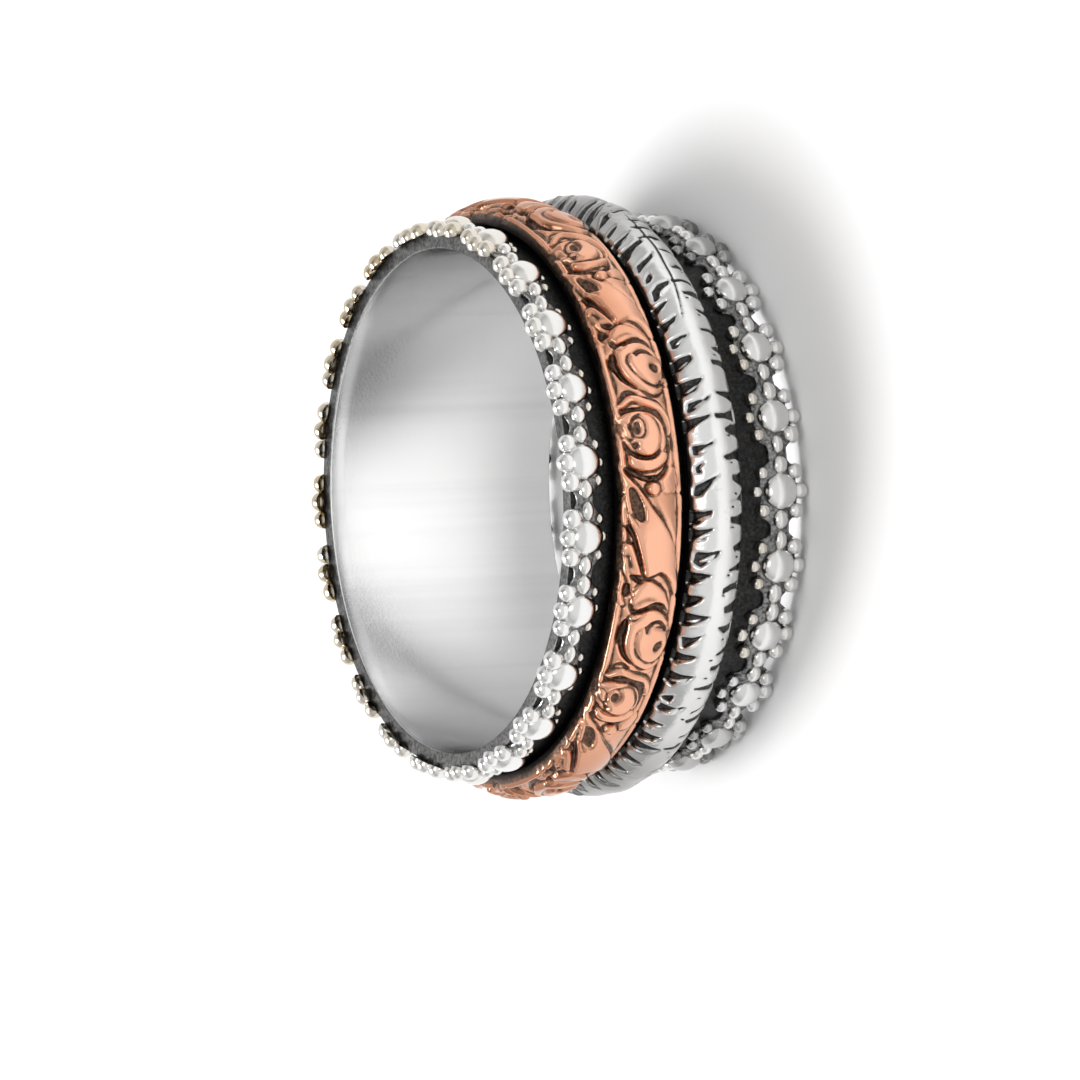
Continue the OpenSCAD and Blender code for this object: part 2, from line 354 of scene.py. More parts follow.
granulation = {
    "rosettes": 23, "plateRadius": 9.88, "lower": 1.15, "upper": 8.9703,
    "lowerTurn": 4.1, "upperTurn": 11.7, "lowerKeel": 9.54, "upperKeel": 9.3,
    "bigRadius": 0.62, "bigHeight": 0.42, "bigSunk": 0.02,
    "bigSpread": 0.025, "bigLong": (0.98, 1.04), "levelSpread": 0.015,
    # three small granules on each side of a big one: radius, axial reach of the middle one and of its
    # neighbours, their distance round the ring, and how far they sit below the plate's back
    "upperOuter": (0.37, 0.63, 0.53, 0.69, 0.12), "upperInner": (0.215, 0.78, 0.58, 0.66, 0.26),
    "lowerOuter": (0.32, 0.82, 0.62, 0.7, 0.03), "lowerInner": (0.25, 0.92, 0.7, 0.67, 0.0),
    "smallLift": 0.06, "smallGrow": (0.9, 1.03), "smallLong": (0.97, 1.08),
    "reachSpread": 0.012, "apartSpread": 0.03, "droop": 0.2,
    "sideSunk": 0.85, "sunkLean": 1.5,       # the neighbours sit less deep; radians of lean for each mm
    "beads": ((0.36, 0.37), (0.63, 0.37)),   # place between two big granules and half-length
    "beadWidth": 0.27, "beadHeight": 0.28, "beadSunk": 0.01, "beadAcross": 0.02, "beadTurn": 0.002,
    "beadWide": (0.85, 1.12), "beadLong": (0.9, 1.05), "beadTall": (0.85, 1.05),
    # how far the strip reaches at its necks and at most, and past each granule
    "neck": 0.35, "upperOuterLimit": 0.5, "upperInnerLimit": 0.93,
    "lowerOuterLimit": 0.8, "lowerInnerLimit": 1.2, "rim": 0.02, "keelInset": 0.1,
    # how many times the granules' droop it has, and how its edges and its uneven top depart from that
    "stripDroop": 1.8, "edgeDroop": 0.03, "uneven": 0.02, "grain": 0.012,
    "columnsEach": 26, "rows": 17, "wallDark": 0.75, "glow": 0.75,
    # yellow tarnish round the upper edge, and painted shade in dull grey at the two ends of the lower edge's
    # seen half
    "tint": 0.45, "oldSwing": 0.6, "oldTurn": 1.1, "oldSpread": (0.5, 1),
    "bigOld": 0.5, "innerOld": 0.5, "beadOld": 0.1,
    "lowerOld": 0.1, "paintedDim": 1.0, "paintedDimFrom": 0.6, "paintedDimTo": 0.95,
}


# Yellow tarnish above zero, painted shade in dull grey below it
def granuleTarnishAndShade(edge, angle):
    sizes = granulation
    if edge == "upper":
        return np.clip(sizes["tint"] + sizes["oldSwing"] * math.cos(angle - sizes["oldTurn"]), 0.05, 1)
    # painted shade in dull grey at the two ends of the lower edge's seen half
    paintedDim = smooth(abs(math.cos(angle)), sizes["paintedDimFrom"], sizes["paintedDimTo"]) * (math.sin(angle) < 0.3)
    return sizes["lowerOld"] - sizes["paintedDim"] * paintedDim


# Where the granules of one edge sit: place, lean, size, and yellow tarnish and painted shade
def granuleSpots(edge):
    sizes = granulation
    level, turn, end = sizes[edge], sizes[edge + "Turn"], 1 if edge == "upper" else -1
    back, droop = sizes["plateRadius"], sizes["droop"]
    step = 2 * math.pi / sizes["rosettes"]
    spots = []
    for k in range(sizes["rosettes"]):
        base = math.radians(turn) + k * step
        # above zero yellow tarnish, below zero painted shade in dull grey
        tint = granuleTarnishAndShade(edge, base)
        grow = sizes["bigRadius"] * rng.normal(1, sizes["bigSpread"])
        across = level + rng.normal(0, sizes["levelSpread"])
        spots.append((across, base, back - sizes["bigSunk"], 0.0, grow,
                      grow * rng.uniform(*sizes["bigLong"]), sizes["bigHeight"], tint * sizes["bigOld"]))
        for side, sign in (("Outer", end), ("Inner", -end)):
            radius, middleReach, sideReach, apart, sunk = sizes[edge + side]
            for place in (-1, 0, 1):
                out = (sideReach if place else middleReach) * rng.normal(1, sizes["reachSpread"])
                size = radius * rng.uniform(*sizes["smallGrow"])
                drop = sunk * (sizes["sideSunk"] if place else 1)
                lean = math.atan(2 * droop * sign * out) + sign * sunk * sizes["sunkLean"]
                angle = base + place * apart * rng.normal(1, sizes["apartSpread"]) / back
                tarnishAndShadeShare = tint if side == "Outer" or tint < 0 else sizes["innerOld"]
                spots.append((level + sign * out, angle, back + sizes["smallLift"] - drop - droop * out ** 2,
                              lean, size, size * rng.uniform(*sizes["smallLong"]), size,
                              tarnishAndShadeShare * rng.uniform(*sizes["oldSpread"])))
        for share, length in sizes["beads"]:
            wide = sizes["beadWidth"] * rng.uniform(*sizes["beadWide"])
            across = level + rng.normal(0, sizes["beadAcross"])
            angle = base + share * step + rng.normal(0, sizes["beadTurn"])
            spots.append((across, angle, back - sizes["beadSunk"], 0.0, wide,
                          length * rng.uniform(*sizes["beadLong"]),
                          sizes["beadHeight"] * rng.uniform(*sizes["beadTall"]), sizes["beadOld"]))
    return spots


# The node group's numbers: the faces of its two domes, the granule's size under which the smaller one is
# taken, the height where both are cut off, in ball radii, and the dents in them
domeInputs = {
    "Big Segments": 28, "Big Rings": 18, "Small Segments": 12, "Small Rings": 9,
    "Size Limit": 0.4 * mm, "Foot": -0.3, "Dent Size": 900.0, "Dent Depth": 0.028 * mm,
}


# Geometry Nodes: a dented dome on every point, sized and turned by the point's own attributes
def granuleTree():
    tree = bpy.data.node_groups.new("granules_on_points", "GeometryNodeTree")
    face = tree.interface
    face.new_socket("Points", in_out="INPUT", socket_type="NodeSocketGeometry")
    for name, value in domeInputs.items():
        kind = "NodeSocketInt" if isinstance(value, int) else "NodeSocketFloat"
        face.new_socket(name, in_out="INPUT", socket_type=kind)
    face.new_socket("Finish", in_out="INPUT", socket_type="NodeSocketMaterial")
    face.new_socket("Granules", in_out="OUTPUT", socket_type="NodeSocketGeometry")
    graph = Graph(tree)
    given = graph.add("NodeGroupInput")
    level = graph.add("ShaderNodeSeparateXYZ", {}, {0: graph.add("GeometryNodeInputPosition")}, take="Z")
    buried = graph.add("FunctionNodeCompare", {"data_type": "FLOAT", "operation": "LESS_THAN"},
                       {0: level, 1: given.out("Foot")})
    turn = graph.add("GeometryNodeInputNamedAttribute", {"data_type": "FLOAT_VECTOR"}, {"Name": "grainTurn"})
    size = graph.add("GeometryNodeInputNamedAttribute", {"data_type": "FLOAT_VECTOR"}, {"Name": "grainSize"})
    turned = graph.add("FunctionNodeEulerToRotation", {}, {0: turn})
    along = graph.add("ShaderNodeSeparateXYZ", {}, {0: size}, take="X")
    both = graph.add("GeometryNodeJoinGeometry")
    # patina is full from this depth below the ball's middle downwards, and gone 1 / fade above it
    for kind, test, depth, fade in (("Big", "GREATER_EQUAL", 0.12, 6.0), ("Small", "LESS_THAN", 0.26, 8.0)):
        ball = graph.add("GeometryNodeMeshUVSphere", {}, {
            "Segments": given.out(kind + " Segments"), "Rings": given.out(kind + " Rings"),
            "Radius": 1.0})
        dome = graph.add("GeometryNodeDeleteGeometry", {"domain": "POINT"},
                         {"Geometry": ball, "Selection": buried})
        lowness = (1 - (level + depth) * fade).clamped()
        marked = graph.add("GeometryNodeStoreNamedAttribute", {"data_type": "FLOAT", "domain": "POINT"},
                           {"Geometry": dome, "Name": "recess", "Value": lowness})
        smoothed = graph.add("GeometryNodeSetShadeSmooth", {}, {"Geometry": marked})
        chosen = graph.add("FunctionNodeCompare", {"data_type": "FLOAT", "operation": test},
                           {0: along, 1: given.out("Size Limit")})
        placed = graph.add("GeometryNodeInstanceOnPoints", {}, {
            "Points": given.out("Points"), "Selection": chosen, "Instance": smoothed,
            "Rotation": turned, "Scale": size})
        tree.links.new(placed.socket, both.socket.node.inputs[0])
    solid = graph.add("GeometryNodeRealizeInstances", {}, {"Geometry": both})
    dents = graph.add("ShaderNodeTexNoise", {}, {"Vector": graph.add("GeometryNodeInputPosition"),
                                                 "Scale": given.out("Dent Size"), "Detail": 1.0})
    push = (dents - 0.5) * given.out("Dent Depth")
    outward = graph.add("ShaderNodeVectorMath", {"operation": "SCALE"},
                        {0: graph.add("GeometryNodeInputNormal"), "Scale": push})
    dented = graph.add("GeometryNodeSetPosition", {}, {"Geometry": solid, "Offset": outward})
    finished = graph.add("GeometryNodeSetMaterial", {},
                         {"Geometry": dented, "Material": given.out("Finish")})
    graph.add("NodeGroupOutput", {}, {0: finished})
    return tree


def growGranules(name, spots):
    level, angle, radius, lean, axial, around, tall, tarnishAndShade = np.array(spots).T
    points = np.stack([radius * np.cos(angle), radius * np.sin(angle), level], -1) * mm
    mesh = bpy.data.meshes.new(name)
    mesh.from_pydata(points.tolist(), [], [])
    turns = np.stack([0 * angle, math.pi / 2 - lean, angle], -1)
    scales = np.stack([axial, around, tall], -1) * mm
    for label, values in (("grainTurn", turns), ("grainSize", scales)):
        mesh.attributes.new(label, "FLOAT_VECTOR", "POINT").data.foreach_set(
            "vector", values.astype(np.float32).ravel())
    mesh.attributes.new("tarnishAndShade", "FLOAT", "POINT").data.foreach_set("value", tarnishAndShade.astype(np.float32))
    seed = bpy.data.objects.new(name + "_points", mesh)
    bpy.context.scene.collection.objects.link(seed)
    grower = seed.modifiers.new("granules", "NODES")
    grower.node_group = granuleTree()
    inputs = {item.name: item.identifier for item in grower.node_group.interface.items_tree
              if item.in_out == "INPUT"}
    for label, value in {**domeInputs, "Finish": silverMetal}.items():
        grower[inputs[label]] = value
    shown = seed.evaluated_get(bpy.context.evaluated_depsgraph_get())
    grown = bpy.data.meshes.new_from_object(shown)
    grown.name = name
    bpy.data.objects.remove(seed)
    granules = bpy.data.objects.new(name, grown)
    bpy.context.scene.collection.objects.link(granules)
    return granules


# The scalloped strip under the granules of one edge
def buildStrip(edge, spots):
    sizes = granulation
    level, turn, end = sizes[edge], sizes[edge + "Turn"], 1 if edge == "upper" else -1
    limits = {end: sizes[edge + "OuterLimit"], -end: sizes[edge + "InnerLimit"]}
    columns, neck, keel = sizes["rosettes"] * sizes["columnsEach"], sizes["neck"], sizes[edge + "Keel"]
    angle = np.linspace(0, 2 * math.pi, columns, endpoint=False) + math.radians(turn)
    reach = {1: np.full(columns, neck), -1: np.full(columns, neck)}
    for spot in spots:
        offset = (angle - spot[1] + math.pi) % (2 * math.pi) - math.pi
        size = max(spot[4], spot[5]) + sizes["rim"]
        chord = size ** 2 - (offset * sizes["plateRadius"]) ** 2
        half = np.where(chord > 0, np.sqrt(np.maximum(chord, 0)), -9)
        for side in (1, -1):
            reach[side] = np.maximum(reach[side], side * (spot[0] - level) + half)
    for side in (1, -1):
        wide = np.minimum(reach[side], limits[side])
        for _ in range(2):
            wide = (np.roll(wide, 1) + 2 * wide + np.roll(wide, -1)) / 4
        reach[side] = wide
    share = np.linspace(-1, 1, sizes["rows"])[:, None]
    across = np.where(share > 0, share * reach[1], share * reach[-1])
    top = sizes["plateRadius"] - sizes["stripDroop"] * sizes["droop"] * across ** 2
    top = top - sizes["edgeDroop"] * smooth(np.abs(share), 0.8, 1.0) ** 2
    top = top + sizes["uneven"] * np.sin(angle * 61 + across * 9) * np.cos(across * 7)
    top = top + sizes["grain"] * blur(rng.normal(0, 1, top.shape), 1)
    # walls down to the keel, at these shares of the way
    steps = (0.15, 0.5, 0.85)
    above = [top[-1] + (keel - top[-1]) * d for d in steps]
    below = [top[0] + (keel - top[0]) * d for d in steps[::-1]]
    radius = np.vstack([top] + above + [np.full((2, columns), keel)] + below)
    keelEnds = [across[-1] - sizes["keelInset"], across[0] + sizes["keelInset"]]
    height = level + np.vstack([across] + [across[-1]] * len(steps) + keelEnds + [across[0]] * len(steps))
    glow = smooth(np.abs(share), 0.9, 0.985) * (reach[1] < neck + 0.1) * (end > 0)
    walls = np.full((len(radius) - len(top), columns), sizes["wallDark"])
    recess = np.vstack([1 - sizes["glow"] * glow, walls])
    return ringShell(edge + "_edge_strip", radius, height, angle[None, :], recess, silverMetal)


def buildEdges():
    pieces, grains = [], []
    for edge in ("upper", "lower"):
        spots = granuleSpots(edge)
        pieces.append(buildStrip(edge, spots))
        grains += spots
    return pieces + [growGranules("granules", grains)]


# A curve through the points, closed or open
def flowing(points, closed, steps=6):
    points = np.array(points, float)
    if len(points) < 3 and not closed:
        return points
    before, after = (points[-1:], points[:2]) if closed else (points[:1], points[-1:])
    padded = np.vstack([before, points, after])
    spans = len(points) if closed else len(points) - 1
    share = np.linspace(0, 1, steps, endpoint=False)[:, None]
    parts = []
    for k in range(spans):
        a, b, c, d = padded[k:k + 4]
        parts.append(0.5 * (2 * b + (c - a) * share + (2 * a - 5 * b + 4 * c - d) * share ** 2
                            + (3 * b - a - 3 * c + d) * share ** 3))
    curve = np.vstack(parts)
    return curve if closed else np.vstack([curve, points[-1:]])


def oval(across, along, halfAcross, halfAlong, count=10):
    turns = np.linspace(0, 2 * math.pi, count, endpoint=False)
    return [(across + halfAcross * math.cos(a), along + halfAlong * math.sin(a)) for a in turns]


# Raised and cut forms painted on a band's back, in mm across it and along it
class Relief:
    def __init__(self, across, along, loop):
        self.across, self.along, self.loop = across, along, loop
        self.height = np.zeros((len(across), len(along)))
        self.recess = np.zeros_like(self.height)
        self.wear = wearField(self.height.shape)

    def patch(self, points, margin):
        low, high = points.min(0), points.max(0)
        middle = (low[1] + high[1]) / 2
        offset = (self.along - middle + self.loop / 2) % self.loop - self.loop / 2 + middle
        rows = np.where((self.across > low[0] - margin) & (self.across < high[0] + margin))[0]
        columns = np.where((offset > low[1] - margin) & (offset < high[1] + margin))[0]
        spots = np.stack(np.meshgrid(self.across[rows], offset[columns], indexing="ij"), -1)
        return np.ix_(rows, columns), spots

    def fromOutline(self, points):
        area, spots = self.patch(points, 0.3)
        best = np.full(spots.shape[:2], 9.0)
        inside = np.zeros(spots.shape[:2], bool)
        x, y = spots[..., 0], spots[..., 1]
        for a, b in zip(points, np.roll(points, -1, 0)):
            best = np.minimum(best, segmentGap(spots, a, b)[0])
            if a[1] != b[1]:
                crossing = (b[0] - a[0]) * (y - a[1]) / (b[1] - a[1]) + a[0]
                inside ^= ((a[1] > y) != (b[1] > y)) & (x < crossing)
        return area, np.where(inside, -best, best)

    def fromStroke(self, points, widths):
        area, spots = self.patch(points, max(widths) + 0.3)
        best = np.full(spots.shape[:2], 9.0)
        for a, b, wa, wb in zip(points[:-1], points[1:], widths[:-1], widths[1:]):
            gap, share = segmentGap(spots, a, b)
            best = np.minimum(best, gap - wa - (wb - wa) * share)
        return area, best

    def lay(self, area, gap, lift, shoulder=0.16, line=0.075, depth=0.05):
        inner = np.clip(-gap / shoulder, 0, 1)
        form = lift * (0.4 + 0.6 * np.sqrt(1 - (1 - inner) ** 2))
        cover = smooth(-gap, -0.02, 0.02)
        self.height[area] = self.height[area] * (1 - cover) + form * cover
        self.recess[area] *= 1 - cover
        line = line * (0.4 + 1.0 * self.wear[area])
        groove = smooth(line / 2 + 0.025 - np.abs(gap - line / 2), 0, 0.045)
        self.height[area] -= depth * groove
        self.recess[area] = np.maximum(self.recess[area], groove * (0.45 + 0.7 * self.wear[area]))

    def cut(self, area, gap, depth, dark=1.0, soft=0.05):
        mark = smooth(-gap, -soft / 2, soft / 2)
        self.height[area] -= depth * mark
        self.recess[area] = np.maximum(self.recess[area], dark * mark)

    def paint(self, forms, shift, jitter):
        for kind, amount, points, widths in forms:
            moved = np.array(points, float) + (0, shift) + rng.normal(0, jitter, 2)
            if kind == "chip":
                area, gap = self.fromOutline(moved)
            elif kind in ("petal", "pit", "pebbles"):
                area, gap = self.fromOutline(flowing(moved, True))
            else:
                table = flowing(np.column_stack([moved, widths]), False)
                area, gap = self.fromStroke(table[:, :2], table[:, 2])
            if kind in ("petal", "rib"):
                self.lay(area, gap, amount)
            elif kind == "pebbles":
                self.lay(area, gap, amount, line=0.03, depth=0.02)
                self.recess[area] = np.maximum(self.recess[area], 0.32 * smooth(-gap, 0, 0.1))
            elif kind == "shade":
                self.cut(area, gap, 0.03, amount, 0.2)
            elif kind == "glint":
                mark = smooth(-gap, -0.02, 0.03)
                self.height[area] += amount * mark
                self.recess[area] *= 1 - mark
            else:
                self.cut(area, gap, amount)


# Slow random change from 0 to 1 round a band, for lines that are partly polished away
def wearField(shape):
    rows, columns = shape
    coarse = rng.uniform(0, 1, (8, columns // 14 + 1))
    across = np.linspace(0, 6.99, rows)
    around = np.linspace(0, coarse.shape[1] - 0.01, columns, endpoint=False)
    r, c = across.astype(int), around.astype(int)
    fr, fc = smooth(across - r, 0, 1)[:, None], smooth(around - c, 0, 1)[None, :]
    nextC = (c + 1) % coarse.shape[1]
    top = coarse[np.ix_(r, c)] * (1 - fc) + coarse[np.ix_(r, nextC)] * fc
    low = coarse[np.ix_(r + 1, c)] * (1 - fc) + coarse[np.ix_(r + 1, nextC)] * fc
    return top * (1 - fr) + low * fr


def segmentGap(spots, a, b):
    step = b - a
    share = np.clip(((spots - a) @ step) / max(step @ step, 1e-12), 0, 1)
    return np.linalg.norm(spots - a - share[..., None] * step, axis=-1), share


def blur(field, times):
    for _ in range(times):
        field = (np.roll(field, 1, 1) + 2 * field + np.roll(field, -1, 1)) / 4
        padded = np.vstack([field[:1], field, field[-1:]])
        field = (padded[:-2] + 2 * padded[1:-1] + padded[2:]) / 4
    return field


# Painted shade on the backs of both loose bands, darker towards the picture's top and bottom: side of the
# picture's middle, start and end in radians, and share
paintedShadeSpans = ((-1, 0.75, 1.4, 1.0), (1, 0.3, 0.9, 0.22), (1, 0.75, 1.25, 0.75))
paintedShadeGone = (1.9, 2.4)


# Turn from the picture's middle, from -pi to pi; the picture's bottom is at pi / 2
def fromPicture(angle):
    return (-math.pi / 2 - angle + math.pi) % (2 * math.pi) - math.pi


# Where a band's back has its rows and columns, from the solid that it stands for
def fitBand(band, node):
    low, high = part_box(node)
    band["low"], band["high"] = low.z / mm, high.z / mm
    band["angle"] = np.linspace(0, 2 * math.pi, band["columns"], endpoint=False)
    band["levels"] = np.linspace(band["low"], band["high"], band["backRows"])
    return fromPicture(band["angle"]), band["high"] - band["levels"]


# What lies deeper than its surroundings, as patina
def hollows(band, height):
    return np.clip((blur(height, 6) - height) * band["hollowGain"], *band["hollowLimits"])


# The inside of both loose bands: its cut corners, its rows, and its patina deepened into near-black painted
# shade
bandInside = {"cut": 0.04, "rows": 4, "dark": 1.9}


# The section of a loose band with a rounded back; relief stands on the back along its normal
def buildBand(name, band, height, recess, material):
    low, high, inner, edge, rise, corner, angle, levels = (
        band[k] for k in ("low", "high", "inner", "edge", "rise", "corner", "angle", "levels"))
    width, columns = high - low, len(angle)
    cut, rows = bandInside["cut"], bandInside["rows"]
    arc = (width * width / 4 + rise * rise) / (2 * rise)
    away = levels - (low + high) / 2
    back = edge + rise - arc + np.sqrt(arc * arc - away * away)
    toEnd = np.minimum(levels - low, high - levels)
    back = back - corner * (1 - np.sqrt(1 - (1 - np.clip(toEnd / corner, 0, 1)) ** 2))
    slope = (away / arc)[:, None]
    radius = back[:, None] + height * np.sqrt(1 - slope ** 2)
    level = levels[:, None] + height * slope
    sides = np.array([edge - corner - 0.02, (edge + inner) / 2, inner + cut])[:, None] + np.zeros(columns)
    inside = np.linspace(high - cut, low + cut, rows)[:, None] + np.zeros(columns)
    radius = np.vstack([radius, sides, np.full((rows, columns), inner), sides[::-1]])
    level = np.vstack([level, np.full((3, columns), high), inside, np.full((3, columns), low)])
    # near-black painted shade on the insides and sides
    dark = np.full((len(radius) - len(recess), columns), bandInside["dark"])
    recess = np.vstack([recess, dark])
    turned = fromPicture(angle)
    # painted shade towards the picture's top and bottom, gone on the far side
    tarnishAndShadeShare = sum(share * smooth(side * turned, start, end) for side, start, end, share in paintedShadeSpans)
    tarnishAndShadeShare = tarnishAndShadeShare * (1 - smooth(np.abs(turned), *paintedShadeGone))
    return ringShell(name, radius, level, angle[None, :], recess, material, tarnishAndShadeShare[None, :])


roseBand = {
    "inner": 9.9, "edge": 10.2, "rise": 0.49, "corner": 0.07, "columns": 1568, "backRows": 52,
    "repeat": 10.3, "repeats": 7, "motifRadius": 10.85, "boldness": 1.35,
    # the ground between the motifs: height, how much it is stippled, and the same for its patina
    "ground": 0.02, "stipple": 0.012, "groundDark": 0.25, "stippleDark": 0.3,
    "hollowGain": 7, "hollowLimits": (-0.25, 0.6), "edgeFlat": 0.08, "edgeDark": 0.07,
    # where the motifs are round this ring, and where the even pattern has them, in mm
    "seen": (-34.085, -10.57, -4.79, 0.0, 5.58, 7.82, 9.69, 34.085),
    "even": (-36.05, -12.8, -4.72, 0.0, 5.58, 7.8, 10.25, 36.05),
}

# One repeat: kind, lift or depth, points as (across from the upper edge, along), and half-widths of strokes
leafForms = [
    ("rib", 0.13, [(0.15, 0.0), (0.17, 2.5), (0.15, 5.1), (0.18, 7.6), (0.15, 10.3)], [0.09] * 5),
    ("rib", 0.13, [(2.32, 0.0), (2.3, 2.5), (2.34, 5.1), (2.31, 7.6), (2.32, 10.3)], [0.09] * 5),
    ("pebbles", 0.07, [(1.3, -0.9), (1.7, -1.1), (2.15, -0.9), (2.18, 0.2), (2.2, 1.2), (2.18, 1.9),
                       (2.0, 1.5), (1.7, 0.9), (1.4, 0.4), (1.15, -0.1)], None),
    ("petal", 0.1, [(1.45, -0.62), (1.8, -0.95), (2.1, -1.1), (2.2, -0.7), (2.15, -0.25), (1.8, -0.15),
                    (1.5, -0.25)], None),
    ("petal", 0.16, [(0.02, -1.55), (0.15, -1.09), (0.49, -0.59), (0.83, -0.09), (1.1, 0.35), (1.4, 0.75),
                     (1.7, 1.17), (1.98, 1.68), (2.13, 2.2), (2.2, 2.7), (2.3, 3.3), (2.38, 3.75),
                     (2.1, 3.35), (1.8, 2.95), (1.5, 2.75), (1.2, 2.85), (0.93, 2.9), (0.81, 2.5),
                     (0.66, 1.9), (0.5, 1.4), (0.33, 0.9), (0.25, 0.4), (0.2, -0.1), (0.14, -0.6),
                     (0.05, -1.1)], None),
    ("pit", 0.14, [(0.33, -0.35), (0.47, -0.36), (0.62, -0.1), (0.76, 0.3), (0.81, 0.65), (0.76, 0.85),
                   (0.6, 0.82), (0.44, 0.6), (0.36, 0.25), (0.32, -0.05)], None),
    ("groove", 0.08, [(0.38, 0.6), (0.5, 0.85), (0.63, 1.08)], [0.045, 0.035, 0.015]),
    ("groove", 0.09, [(0.11, 0.98), (0.31, 1.1), (0.44, 1.4), (0.52, 1.65)], [0.05, 0.08, 0.05, 0.02]),
    ("rib", 0.13, [(0.14, 1.2), (0.16, 1.4), (0.17, 1.6)], [0.05, 0.06, 0.03]),
    ("groove", 0.06, [(0.42, 1.25), (0.56, 1.75), (0.7, 2.15)], [0.02, 0.02, 0.01]),
    ("petal", 0.13, [(0.12, 1.75), (0.3, 1.62), (0.45, 1.75), (0.62, 2.2), (0.78, 2.7), (0.84, 2.98),
                     (0.7, 3.02), (0.5, 2.8), (0.35, 2.95), (0.2, 2.7), (0.12, 2.2)], None),
    ("groove", 0.06, [(0.29, 1.95), (0.36, 2.3), (0.52, 2.65)], [0.02, 0.03, 0.02]),
    ("pit", 0.1, oval(0.65, 2.97, 0.15, 0.17), None),
    ("pit", 0.1, oval(0.34, 3.43, 0.13, 0.25), None),
    ("rib", 0.14, [(0.25, 2.2), (0.3, 2.7), (0.42, 3.15)], [0.05, 0.07, 0.03]),
    ("rib", 0.13, [(0.55, 3.5), (0.65, 3.35), (0.75, 3.2)], [0.04, 0.06, 0.03]),
    ("rib", 0.13, [(0.13, 3.5), (0.2, 3.8), (0.3, 4.0)], [0.05, 0.07, 0.03]),
    ("petal", 0.15, oval(1.17, -0.3, 0.25, 0.25), None),
]
sideRoseForms = [
    ("petal", 0.12, [(0.52, 3.75), (0.6, 3.4), (0.86, 3.08), (1.1, 3.02), (1.31, 3.11), (1.72, 3.42),
                     (1.99, 3.88), (2.17, 4.4), (1.95, 4.3), (1.7, 4.05), (1.36, 3.98), (0.95, 4.12),
                     (0.66, 4.25), (0.54, 4.05)], None),
    ("shade", 0.5, [(0.66, 3.95), (1.1, 3.72), (1.6, 3.87)], [0.1, 0.14, 0.08]),
    ("petal", 0.12, [(0.55, 4.6), (0.8, 4.35), (1.2, 4.18), (1.5, 4.15), (1.85, 4.32), (2.15, 4.7),
                     (2.3, 5.2), (2.3, 5.9), (2.05, 6.45), (1.6, 6.6), (1.11, 6.35), (0.75, 6.0),
                     (0.57, 5.5), (0.54, 5.0)], None),
    ("groove", 0.1, [(0.56, 4.0), (0.68, 4.22), (1.0, 4.1), (1.36, 3.95), (1.75, 4.02), (2.1, 4.35)],
     [0.06, 0.09, 0.07, 0.08, 0.07, 0.03]),
    ("rib", 0.16, [(0.6, 4.5), (0.75, 4.39), (0.9, 4.3)], [0.04, 0.08, 0.03]),
    ("groove", 0.12, [(0.47, 4.67), (0.45, 4.93), (0.42, 5.29), (0.49, 5.65), (0.67, 6.02), (1.0, 6.33)],
     [0.09, 0.12, 0.1, 0.08, 0.06, 0.02]),
    ("petal", 0.17, [(1.0, 4.88), (0.9, 5.15), (0.92, 5.45), (1.05, 5.8), (1.36, 6.12), (1.7, 6.25),
                     (2.0, 6.1), (2.2, 5.7), (2.2, 5.3), (2.05, 5.0), (1.7, 4.85), (1.3, 4.8)], None),
    ("groove", 0.1, [(1.22, 4.99), (1.29, 4.77), (1.49, 4.63), (1.76, 4.67), (2.08, 4.93)],
     [0.04, 0.08, 0.08, 0.06, 0.03]),
    ("pit", 0.12, oval(1.81, 5.58, 0.19, 0.21), None),
    ("groove", 0.07, [(0.4, 6.7), (0.45, 6.47), (0.67, 6.4), (0.9, 6.52)], [0.02, 0.04, 0.06, 0.04]),
    ("groove", 0.07, [(1.75, 6.35), (2.1, 6.2), (2.3, 6.25)], [0.03, 0.05, 0.03]),
]
